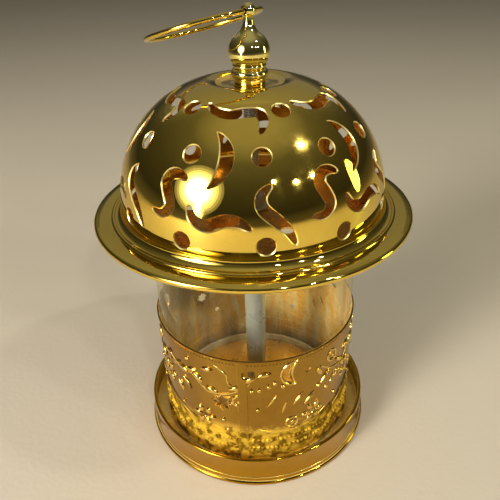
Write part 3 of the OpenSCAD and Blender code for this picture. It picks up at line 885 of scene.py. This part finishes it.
def make_plate():
    t = SHEET_T
    points = [(ROD_R + SEAT_GAP, 0), (PLATE_RIM_R, 0), (PLATE_RIM_R, PLATE_RIM_H)]
    points += [(PLATE_RIM_R - t, PLATE_RIM_H), (PLATE_RIM_R - t, t), (ROD_R + SEAT_GAP, t)]
    plate = turned(lifted(softened(points, 0.3), PLATE_Z))
    vents = []
    for i in range(VENT_COUNT):
        vent = prism(disc_outline(VENT_R, 32), PLATE_Z - 2, PLATE_TOP_Z + 2)
        bmesh.ops.translate(vent, vec=(VENT_CIRCLE_R, 0, 0), verts=vent.verts)
        bmesh.ops.rotate(vent, matrix=Matrix.Rotation(i * math.tau / VENT_COUNT, 3, "Z"), verts=vent.verts)
        vents.append(vent)
    plate = combined(plate, joined(vents), "DIFFERENCE")
    finished(plate, "vented_plate", "lantern", ["top_plate"], [inner_gold])


make_tray()
make_gaskets()
make_glass()
make_plate()


# Band


# Places on the band: share of a repeat, share of the band's height, and tilt as a share of a turn
STARS = [(0.928, 0.582)]
CRESCENTS = [(0.232, 0.844)]
SMALL_STARS = [(0.325, 0.83)]
SLOTS = [(0.054, 0.874)]
ROSETTES = [(0.832, 0.384), (0.36, 0.39), (0.59, 0.6)]
SCROLLS = [(0.007, 0.61), (0.47, 0.84), (0.25, 0.36)]
STUDS = [
    (0.064, 0.72), (0.098, 0.723), (0.14, 0.755), (0.167, 0.78), (0.203, 0.74), (0.09, 0.53), (0.385, 0.63),
    (0.44, 0.56), (0.5, 0.44), (0.7, 0.4), (0.93, 0.4), (0.95, 0.31), (0.75, 0.88),
]
LEAVES = [
    (0.673, 0.77, 0.1), (0.726, 0.76, -0.03), (0.768, 0.79, 0.06), (0.811, 0.745, -0.11),
    (0.882, 0.675, -0.06), (0.99, 0.735, 0.05), (1.057, 0.825, 0.09), (1.122, 0.87, 0.03),
    (0.39, 0.76, -0.16), (0.53, 0.74, -0.08), (0.6, 0.8, 0.04), (0.86, 0.86, 0.03), (0.69, 0.56, -0.16),
]
BLADES = [
    (0.153, 0.61, 0.16), (0.278, 0.585, 0.13), (0.338, 0.55, 0.12), (0.21, 0.53, 0.2), (0.43, 0.68, 0.12),
    (0.5, 0.62, 0.1), (0.74, 0.64, -0.13),
]
STEMS = [
    [(0.62, 0.8), (0.72, 0.73), (0.77, 0.76), (0.81, 0.71), (0.86, 0.65)]
    + [(0.93, 0.66), (0.99, 0.7), (1.06, 0.79)],
    [(0.08, 0.33), (0.16, 0.29), (0.26, 0.28), (0.36, 0.3), (0.44, 0.36)],
    [(0.4, 0.8), (0.47, 0.72), (0.55, 0.7), (0.62, 0.75)],
    [(0.9, 0.92), (0.95, 0.86), (0.96, 0.78), (0.99, 0.73)],
    [(0.5, 0.3), (0.58, 0.35), (0.68, 0.34), (0.76, 0.28)],
]
STEM_R = 0.45
RIM_R = 0.55
# How much larger the raised rims of a crescent and of a star are than their openings
CRESCENT_RIM = (2.4, 1.8, -0.3)
STAR_RIM = 1.2
# A raised form rises in rings: how wide each is, and how high
SWELL = ((0.93, 0.45), (0.78, 0.72), (0.56, 0.9), (0.28, 1.0))


def on_sheet(share, up):
    return Vector((share * REPEAT_LEN, up * BAND_H, 0))


def swelling(outline, middle, tilt, height):
    """A rounded form raised from the flat sheet, its foot sunk in it."""
    mesh, face = flat_face(outline, -BAND_T / 2)
    before = 1.0
    for width, rise in SWELL:
        level = face.verts[0].co.z
        face = raised(mesh, face, height * rise - level, base=level < 0)
        bmesh.ops.scale(mesh, vec=(width / before, width / before, 1), verts=face.verts)
        before = width
    turn = Matrix.Translation(middle) @ Matrix.Rotation(tilt * math.tau, 4, "Z")
    bmesh.ops.transform(mesh, matrix=turn, verts=mesh.verts)
    return tidy(mesh)


def wire_along(points, radius):
    """A round ridge that follows a line on the flat sheet."""
    mesh = bmesh.new()
    bmesh.ops.create_circle(mesh, cap_ends=True, segments=10, radius=radius)
    face = next(iter(mesh.faces))
    last = len(points) - 1
    up = Vector((0, 0, 1))
    held = Matrix.Identity(4)
    for i, here in enumerate(points):
        along = (points[min(i + 1, last)] - points[max(i - 1, 0)]).normalized()
        stand = Matrix.Translation(here) @ Matrix((along.cross(up), up, along)).transposed().to_4x4()
        if i:
            face = raised(mesh, face, 0, base=i == 1)
        bmesh.ops.transform(mesh, matrix=stand @ held.inverted(), verts=face.verts)
        held = stand
    return tidy(mesh)


def leaf_outline(length, width, steps=9):
    """A leaf pointed at both ends."""
    radius = circle_through(length, width / 2)
    reach = math.degrees(math.asin(length / 2 / radius))
    upper = arc((0, width / 2 - radius), radius, 90 - reach, 90 + reach, steps)
    return upper + [(-x, -y) for x, y in upper[1:-1]]


def round_line(centre, radius, steps=20):
    return [centre + Vector((*p, 0)) for p in arc((0, 0), radius, 0, 360 + 180 / steps, steps)]


def stamped_forms():
    """The raised forms of one repeat, laid flat."""
    forms = []
    for x, y, tilt in LEAVES:
        forms.append(swelling(leaf_outline(*LEAF), on_sheet(x, y), tilt, RELIEF))
    for x, y, tilt in BLADES:
        forms.append(swelling(leaf_outline(*BLADE), on_sheet(x, y), tilt, RELIEF * 0.8))
    for x, y in STUDS:
        forms.append(swelling(disc_outline(STUD_R, 16), on_sheet(x, y), 0, RELIEF))
    for x, y in ROSETTES:
        for k in range(PETAL_COUNT):
            turn = k / PETAL_COUNT
            reach = Matrix.Rotation(turn * math.tau, 3, "Z") @ Vector((PETAL_RING_R, 0, 0))
            forms.append(swelling(leaf_outline(*PETAL), on_sheet(x, y) + reach, turn, RELIEF * 0.9))
    for x, y in SCROLLS:
        forms.append(wire_along(round_line(on_sheet(x, y), SCROLL_R), SCROLL_W / 2))
        forms.append(swelling(disc_outline(STUD_R, 16), on_sheet(x, y), 0, RELIEF))
    for stem in STEMS:
        forms.append(wire_along(smooth_line([on_sheet(x, y) for x, y in stem], 6), STEM_R))
    crescent = crescent_outline(*(a + b for a, b in zip(BAND_CRESCENT, CRESCENT_RIM)), 16, -1)
    star = star_outline(8, BAND_STAR_R + STAR_RIM, 0.6)
    for places, rim, radius in ((CRESCENTS, crescent, RIM_R), (STARS, star, RIM_R * 0.8)):
        for x, y in places:
            forms.append(wire_along([on_sheet(x, y) + Vector((*p, 0)) for p in rim + rim[:1]], radius))
    return joined(forms)


def wrapped(mesh, repeat):
    """Bends what lies flat round the band, in the place of one repeat."""
    start = math.radians(FIRST_AZIMUTH + repeat * 360 / BAND_REPEATS)
    for vert in mesh.verts:
        angle = start + vert.co.x / BAND_OUT_R
        radius = BAND_OUT_R + vert.co.z
        vert.co = (radius * math.cos(angle), radius * math.sin(angle), BAND_Z + vert.co.y)
    bmesh.ops.recalc_face_normals(mesh, faces=mesh.faces)
    return mesh


def dented(sheet, forms):
    """Presses the hollows of the raised forms into the back of the sheet."""
    relief = BVHTree.FromBMesh(forms)
    for vert in sheet.verts:
        radius = math.hypot(vert.co.x, vert.co.y)
        if radius > BAND_IN_R + BAND_T / 4:
            continue
        outward = Vector((vert.co.x, vert.co.y, 0)) / radius
        hit = relief.ray_cast(vert.co + outward * 5, -outward, 5)[0]
        if hit:
            depth = min(DENT, math.hypot(hit.x, hit.y) - BAND_OUT_R)
            vert.co += outward * max(depth, 0)


def on_band(i, share, up):
    azimuth = FIRST_AZIMUTH + (i + share) * 360 / BAND_REPEATS
    return facing(azimuth, BAND_OUT_R, BAND_Z + up * BAND_H, 0)


def beading(height, radius, count, sides):
    """A row of small half sunk beads round the band."""
    row = []
    for i in range(count):
        bead = bmesh.new()
        place = facing(i * 360 / count, BAND_OUT_R, BAND_Z + height, 0)
        bmesh.ops.create_uvsphere(bead, u_segments=sides, v_segments=sides // 2 + 1, radius=radius)
        bmesh.ops.transform(bead, matrix=place, verts=bead.verts)
        row.append(bead)
    return joined(row)


BAND_STEPS = 480
BAND_ROWS = 16
BACK_ROWS = 96
# The overlapped end stands out by this many thicknesses of the sheet
SEAM_RISE = 2.2
STAR_WAIST = 0.48
BAND_EDGE = 0.2
BAND_REACH = 3
DOT_ROW_DROP = 2.8


def band_outline():
    """Closed section of the band's sheet, with a rolled hem at each edge."""
    hem = BAND_HEM_R
    middle_r = BAND_IN_R + hem
    inner_h = BAND_H - 2 * hem
    out = [(BAND_OUT_R, hem + inner_h * i / BAND_ROWS) for i in range(1, BAND_ROWS)]
    back = [(BAND_IN_R, hem + inner_h * i / BACK_ROWS) for i in range(BACK_ROWS - 1, 0, -1)]
    outline = arc((middle_r, hem), hem, 180, 475, 8) + out
    outline += arc((middle_r, BAND_H - hem), hem, -115, 180, 8) + back
    return lifted(outline, BAND_Z)


def seamed(sheet):
    """The sheet with its overlapped end, and the thin line that this leaves beside it."""
    hem = BAND_HEM_R
    lap = box_outline(BAND_OUT_R - BAND_T / 2, BAND_OUT_R + BAND_T * SEAM_RISE, hem, BAND_H - hem)
    lap_at = FIRST_AZIMUTH + SEAM_TURN
    end = part_turned(lifted(softened(lap, 0.1), BAND_Z), lap_at, math.degrees(SEAM_W / BAND_OUT_R), 8)
    line = box_outline(BAND_OUT_R - SEAM_LINE, BAND_OUT_R + BAND_T, hem * 2, BAND_H - hem * 2)
    line_at = lap_at - math.degrees((SEAM_W + SEAM_LINE) / 2 / BAND_OUT_R)
    cut = part_turned(lifted(line, BAND_Z), line_at, math.degrees(SEAM_LINE / BAND_OUT_R), 2)
    return combined(combined(sheet, end, "UNION"), cut, "DIFFERENCE")


def band_motifs():
    """The openings of one repeat, each an outline and its place."""
    width, height = BAND_SLOT
    slot = softened(box_outline(-width / 2, width / 2, -height / 2, height / 2), 0.8)
    motifs = [(star_outline(8, BAND_STAR_R, STAR_WAIST), place) for place in STARS]
    motifs += [(star_outline(5, SMALL_STAR_R, STAR_WAIST), place) for place in SMALL_STARS]
    motifs += [(crescent_outline(*BAND_CRESCENT, 16, -1), place) for place in CRESCENTS]
    motifs += [(slot, place) for place in SLOTS]
    motifs += [(disc_outline(BAND_HOLE_R, 20), place) for place in ROSETTES]
    return motifs


def make_band():
    sheet = turned(band_outline(), BAND_STEPS)
    skin = BVHTree.FromBMesh(sheet)
    flat = stamped_forms()
    relief = joined([wrapped(flat.copy(), i) for i in range(BAND_REPEATS)])
    dented(sheet, relief)
    sheet = seamed(sheet)
    punches = []
    for i in range(BAND_REPEATS):
        for outline, place in band_motifs():
            punches.append(punch(outline, on_band(i, *place), skin, BAND_EDGE, BAND_REACH))
    sheet = combined(sheet, joined(punches), "DIFFERENCE")
    rows = [beading(height, BEAD_ROW_R, BEAD_COUNT, 8) for height in BEAD_ROWS]
    dots = beading(BAND_H - DOT_ROW_DROP, DOT_R, DOT_COUNT, 6)
    trim = [relief] + rows
    # The raised forms and bead rows take the paler finish, a painted highlight
    for form in trim:
        for face in form.faces:
            face.material_index = RAISED
    finishes = [band_gold, back_gold, raised_highlight_gold]
    whole = joined([sheet, dots] + trim)
    band = finished(whole, "stamped_band", "lantern", ["ornament_band"], finishes)
    for face in band.data.polygons:
        inward = face.normal.x * face.center.x + face.normal.y * face.center.y < 0
        if inward and math.hypot(face.center.x, face.center.y) < (BAND_IN_R + DENT + BAND_T / 4) * MM:
            face.material_index = BACK


make_band()


# Rod, sleeve and fasteners


def make_rod():
    core_r = ROD_R - THREAD_DEPTH
    top = ROD_Z + ROD_LEN
    core = turned(softened([(0, ROD_Z), (core_r, ROD_Z), (core_r, top), (0, top)], 0.3), FINE_TURN // 3)
    thread = bmesh.new()
    half = THREAD_PITCH * 0.42
    sunk = core_r - THREAD_SINK
    crest = THREAD_CREST / 2
    ring = traced(thread, [(sunk, -half), (ROD_R, -crest), (ROD_R, crest), (sunk, half)])
    steps = 20
    bmesh.ops.spin(
        thread, geom=ring, axis=(0, 0, 1), angle=math.tau, steps=steps, dvec=(0, 0, THREAD_PITCH / steps)
    )
    length = THREAD_PITCH
    while length < ROD_LEN / 4:
        doubled(thread, Matrix.Translation((0, 0, length)))
        length *= 2
    tidy(thread)
    bmesh.ops.holes_fill(thread, edges=thread.edges)
    lower = thread.copy()
    bmesh.ops.translate(thread, vec=(0, 0, ROD_Z + ROD_LEN - length - THREAD_PITCH), verts=thread.verts)
    bmesh.ops.translate(lower, vec=(0, 0, ROD_Z + THREAD_PITCH), verts=lower.verts)
    whole = joined([core, tidy(lower), tidy(thread)])
    finished(whole, "threaded_rod", "lantern", ["tie_rod"], [zinc])


def nut(z, thickness):
    """A hexagon with its corners turned down, top and bottom."""
    corner_r = NUT_FLATS / 2 / math.cos(math.pi / 6)
    drop = (corner_r - NUT_FLATS / 2) * 0.6
    top = z + thickness
    flat_r = NUT_FLATS / 2
    mouth_r = BORE_R + NUT_MOUTH
    points = [(BORE_R, z + NUT_MOUTH), (mouth_r, z), (flat_r, z), (corner_r, z + drop)]
    points += [(corner_r, top - drop), (flat_r, top), (mouth_r, top), (BORE_R, top - NUT_MOUTH)]
    hexagon = prism(disc_outline(corner_r, 6), z - 1, top + 1)
    return combined(turned(points, FINE_TURN), hexagon, "INTERSECT")


def washer(z):
    return turned(softened(box_outline(ROD_R + SEAT_GAP, WASHER_R, z, z + WASHER_T), 0.25), FINE_TURN)


def ferrule(z, up):
    collar_r = SLEEVE_R + SHEET_T + SEAT_GAP
    bore = ROD_R + SEAT_GAP
    points = [(bore, 0), (FERRULE_R, 0), (FERRULE_R, FERRULE_T), (collar_r, FERRULE_T), (collar_r, FERRULE_H)]
    points += [(SLEEVE_R + SEAT_GAP, FERRULE_H), (SLEEVE_R + SEAT_GAP, FERRULE_T), (bore, FERRULE_T)]
    if not up:
        points = [(x, -h) for x, h in reversed(points)]
    return turned(softened(lifted(points, z), SLEEVE_SOFT), FINE_TURN)


def make_fasteners():
    for name, node, mesh in (
        ("washer_under_tray", "bottom_washer", washer(TRAY_RECESS - WASHER_T)),
        ("nut_under_tray", "bottom_nut", nut(TRAY_RECESS - WASHER_T - THIN_NUT_T, THIN_NUT_T)),
        ("washer_on_plate", "plate_washer", washer(PLATE_TOP_Z)),
        ("nut_on_plate", "plate_nut", nut(PLATE_TOP_Z + WASHER_T, NUT_T)),
        ("washer_in_crown", "dome_washer", washer(CROWN_UNDER_Z - WASHER_T)),
        ("nut_in_crown", "dome_nut", nut(CROWN_UNDER_Z - WASHER_T - NUT_T, NUT_T)),
        ("ferrule_low", "lower_ferrule", ferrule(FLOOR_Z, True)),
        ("ferrule_high", "upper_ferrule", ferrule(PLATE_Z, False)),
    ):
        finished(mesh, name, "lantern", [node], [zinc])
    outline = box_outline(SLEEVE_R - SLEEVE_WALL, SLEEVE_R, FLOOR_Z + FERRULE_T, PLATE_Z - FERRULE_T)
    sleeve = turned(softened(outline, SLEEVE_SOFT), FINE_TURN)
    finished(sleeve, "chromed_tube", "lantern", ["sleeve_tube"], [satin_steel])


make_rod()
make_fasteners()


# Finial and ring


def eye_place():
    return Matrix.Translation((0, 0, KNOB_Z)) @ Matrix.Rotation(math.radians(-EYE_TURN), 4, "Z")


def make_finial():
    half = FINIAL_BEAD_H / 2
    small = WAIST_H / 2
    collar = (
        [(BORE_R, BULB_FOOT_Z), (BORE_R, SEAT_Z), (FOOT_R - FOOT_CHAMFER, SEAT_Z)]
        + [(FOOT_R, SEAT_Z + FOOT_CHAMFER), (FOOT_R, BEAD_Z - 0.1)]
        + arc((FINIAL_BEAD_R - half, BEAD_Z + half), half, -75, 75, 14)
        + arc((WAIST_R - small, BULB_FOOT_Z - small), small, -80, 90, 12)
    )
    finished(turned(collar, FINE_TURN), "finial_foot", "finial", ["finial_collar"], [finial_gold])
    ogee_c = (NECK_R + OGEE_R, NECK_Z)
    meet = math.degrees(math.atan2(NECK_RISE, ogee_c[0]))
    turn_c = (BULB_R - BULB_TURN_R, BULB_Z)
    sunk = -math.degrees(math.asin(BULB_SINK / BULB_TURN_R))
    split_angle = 180 + math.degrees(math.asin((NECK_Z - SPLIT_Z) / OGEE_R))
    socket_r = STEM_R + STEM_GAP
    bulb = (
        [(BORE_R, BULB_FOOT_Z)]
        + arc(turn_c, BULB_TURN_R, sunk, 0, 12)
        + arc((0, BULB_Z), BULB_R, 0, meet, 20)[1:]
        + arc(ogee_c, OGEE_R, 180 + meet, split_angle, 6)[1:]
        + [(socket_r, SPLIT_Z), (socket_r, SPLIT_Z - STEM_LEN), (BORE_R, SPLIT_Z - STEM_LEN - 0.5)]
    )
    finished(turned(bulb, FINE_TURN), "onion_bulb", "finial", ["finial_bulb"], [finial_gold])
    stem_z = SPLIT_Z - STEM_LEN + SEAT_GAP
    ball = math.degrees(math.acos(NECK_R / KNOB_R))
    knob = (
        [(0, stem_z), (STEM_R, stem_z), (STEM_R, SPLIT_Z)]
        + arc(ogee_c, OGEE_R, split_angle, 180, 10)
        + arc((0, KNOB_Z), KNOB_R, -ball, 90, 18)
    )
    eye = prism(disc_outline(WIRE_R + EYE_CLEAR, 32), -2 * KNOB_R, 2 * KNOB_R)
    turn = eye_place() @ Matrix.Rotation(math.radians(90), 4, "X")
    bmesh.ops.transform(eye, matrix=turn, verts=eye.verts)
    cut = combined(turned(knob, FINE_TURN), eye, "DIFFERENCE")
    finished(cut, "knob_and_neck", "finial", ["finial_knob"], [finial_gold])


def make_ring():
    ring = turned([(RING_R + x, z) for x, z in disc_outline(WIRE_R, 20)], 144)
    droop = Matrix.Rotation(math.radians(-RING_DROOP), 4, "Y")
    turn = eye_place() @ droop @ Matrix.Translation((-RING_R, 0, 0))
    bmesh.ops.transform(ring, matrix=turn, verts=ring.verts)
    finished(ring, "wire_ring", "ring", ["hanging_ring"], [outer_gold])


make_finial()
make_ring()


# Studio, in metres


FLOOR_R = 12
CENTRE = (0, 0, 0.14)
# Every light is turned to the centre. Discs of a fading one, and how many times each is dimmer than the last
LIGHT_DISCS = 7
LIGHT_FADE = 2.1


def floor_finish():
    f = Finish("studio floor")
    place = f.place()
    cloud = f.noise(place, 3, 4, 0.6)
    return f.set(
        Base_Color=f.blend(cloud, (0.68, 0.59, 0.46), (0.62, 0.53, 0.4)),
        Roughness=0.55,
        Normal=f.bump(f.noise(place, 400, 3), 0.0001),
    )


def make_floor():
    mesh = bmesh.new()
    bmesh.ops.create_circle(mesh, cap_ends=True, radius=FLOOR_R, segments=64)
    floor = placed(mesh, "floor")
    floor.data.materials.append(floor_finish())


def soft_light(name, place, width, height, power, colour):
    data = bpy.data.lights.new(name, "AREA")
    data.shape = "ELLIPSE"
    data.size = width
    data.size_y = height
    data.energy = power
    data.color = colour
    light = shown(name, data)
    light.location = place
    light.rotation_euler = (Vector(CENTRE) - place).to_track_quat("-Z", "Y").to_euler()
    return light


def fading_light(name, place, inner, outer, power, colour):
    """A light that fades towards its edge: discs over one another, each wider and dimmer than the last."""
    lights = []
    for i in range(LIGHT_DISCS):
        share = i / (LIGHT_DISCS - 1)
        width, height = (a + (b - a) * share for a, b in zip(inner, outer))
        energy = power * width * height / LIGHT_FADE**i
        lights.append(soft_light(name, place, width, height, energy, colour))
    return lights


def toward(azimuth, elevation, distance):
    """A place in the studio, its azimuth counted from the front round to the right."""
    a, e = math.radians(azimuth), math.radians(elevation)
    out = Vector((math.sin(a) * math.cos(e), -math.cos(a) * math.cos(e), math.sin(e)))
    return Vector(CENTRE) + out * distance


def make_backdrop():
    """Studio walls that are darkest a little above the floor's level and go up to a soft ceiling."""
    world = bpy.data.worlds.new("studio")
    bpy.context.scene.world = world
    world.use_nodes = True
    tree = world.node_tree
    place = tree.nodes.new("ShaderNodeTexCoord")
    axes = tree.nodes.new("ShaderNodeSeparateXYZ")
    ramp = tree.nodes.new("ShaderNodeValToRGB")
    stops = ((0.0, (0.07, 0.065, 0.05)), (0.1, (0.03, 0.029, 0.023)), (0.45, (0.055, 0.053, 0.04)))
    stops += ((0.62, (0.08, 0.078, 0.065)), (0.8, (0.12, 0.117, 0.1)), (0.97, (0.32, 0.31, 0.27)))
    while len(ramp.color_ramp.elements) < len(stops):
        ramp.color_ramp.elements.new(0.5)
    for element, (height, colour) in zip(ramp.color_ramp.elements, stops):
        element.position = height
        element.color = (*colour, 1)
    tree.links.new(place.outputs["Generated"], axes.inputs[0])
    tree.links.new(axes.outputs[2], ramp.inputs[0])
    tree.links.new(ramp.outputs[0], tree.nodes["Background"].inputs["Color"])


def make_lights():
    warm = (1.0, 0.97, 0.9)
    white = (1.0, 0.99, 0.96)
    lime = (0.85, 1.0, 0.35)
    fading_light("key light", toward(-47, 22, 1.3), (0.36, 0.36), (1.0, 1.0), 64, warm)
    soft_light("window streak", toward(-44, 4, 1.3), 0.15, 0.5, 1.4, white)
    soft_light("right strip", toward(94, 9, 1.2), 0.2, 0.5, 1.6, lime)
    for light in fading_light("rear light", toward(-178, 38, 1.6), (2.0, 1.4), (3.8, 2.6), 0.4, warm):
        light.visible_diffuse = False
    for azimuth, elevation in ((71, 54), (20, 35), (40, 30.5), (57, 29)):
        soft_light("small lamp", toward(azimuth, elevation, 1.5), 0.07, 0.07, 3.0, white)


# Camera, at the place that the photograph was taken from
CAMERA_PLACE = (0, -0.221425, 0.225590)
CAMERA_PITCH = 0.5299
CAMERA_ROLL = -0.0282
CAMERA_YAW = -0.0083
CAMERA_LENS = 38.88
SENSOR = 36


def make_camera():
    data = bpy.data.cameras.new("camera")
    data.sensor_width = SENSOR
    data.lens = CAMERA_LENS
    data.clip_start = 0.01
    camera = shown("camera", data)
    level = math.cos(CAMERA_PITCH)
    across, along = math.sin(CAMERA_YAW), math.cos(CAMERA_YAW)
    ahead = Vector((across * level, along * level, -math.sin(CAMERA_PITCH)))
    right = Vector((along, -across, 0))
    up = right.cross(ahead)
    c, s = math.cos(CAMERA_ROLL), math.sin(CAMERA_ROLL)
    axes = Matrix((right * c + up * s, up * c - right * s, -ahead)).transposed()
    camera.matrix_world = Matrix.Translation(CAMERA_PLACE) @ axes.to_4x4()
    bpy.context.scene.camera = camera


make_floor()
make_backdrop()
make_lights()
bpy.context.scene.view_settings.view_transform = "Standard"
make_camera()
